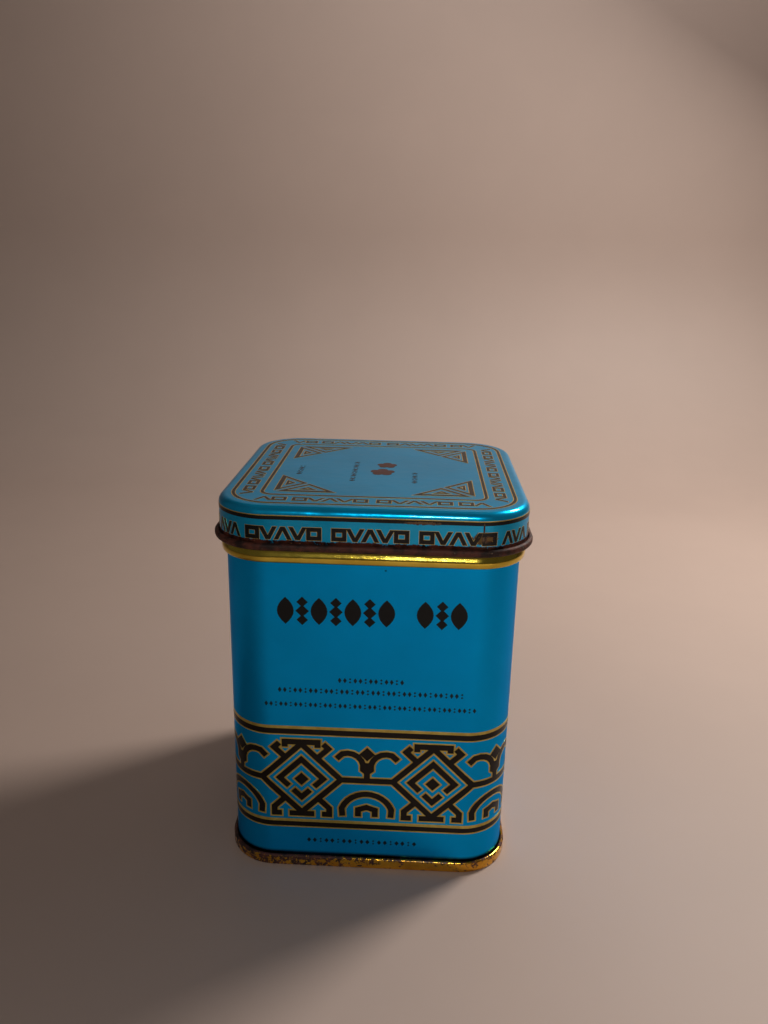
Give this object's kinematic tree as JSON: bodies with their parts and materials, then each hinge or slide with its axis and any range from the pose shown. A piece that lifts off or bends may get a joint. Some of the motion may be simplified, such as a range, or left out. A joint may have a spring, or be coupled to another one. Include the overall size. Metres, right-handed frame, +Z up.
{
  "type": "tea caddy",
  "caption": "Tinplate tea caddy with rounded corners, folded seams, a press-in inner lid and a slip-on outer lid.",
  "frame": {"origin": "middle of the tin's outline, on the surface that the base rim stands on", "axes": "+Z up, +X to the right of the printed front, +Y from the printed front to the back"},
  "size_m": [0.082, 0.082, 0.1045],
  "materials": {
    "wall_enamel": "glossy printed enamel",
    "lid_enamel": "glossy printed enamel",
    "gold_lacquer": "gold lacquer over tinplate"
  },
  "bodies": {
    "tin": {"body_wall": "wall_enamel", "base_end": "gold_lacquer", "neck_ring": "gold_lacquer"},
    "outer_lid": {"outer_lid": "lid_enamel"},
    "inner_lid": {"inner_lid": "gold_lacquer"}
  },
  "joints": [
    {"name": "outer_lid_lift", "type": "slide", "parent": "tin", "child": "outer_lid", "axis": [0, 0, 1], "range_m": [0, 0.08]},
    {"name": "inner_lid_lift", "type": "slide", "parent": "tin", "child": "inner_lid", "axis": [0, 0, 1], "range_m": [0, 0.032]}
  ],
  "couplings": [
    {"joint": "inner_lid_lift", "follows": "outer_lid_lift", "ratio": 0.4}
  ]
}
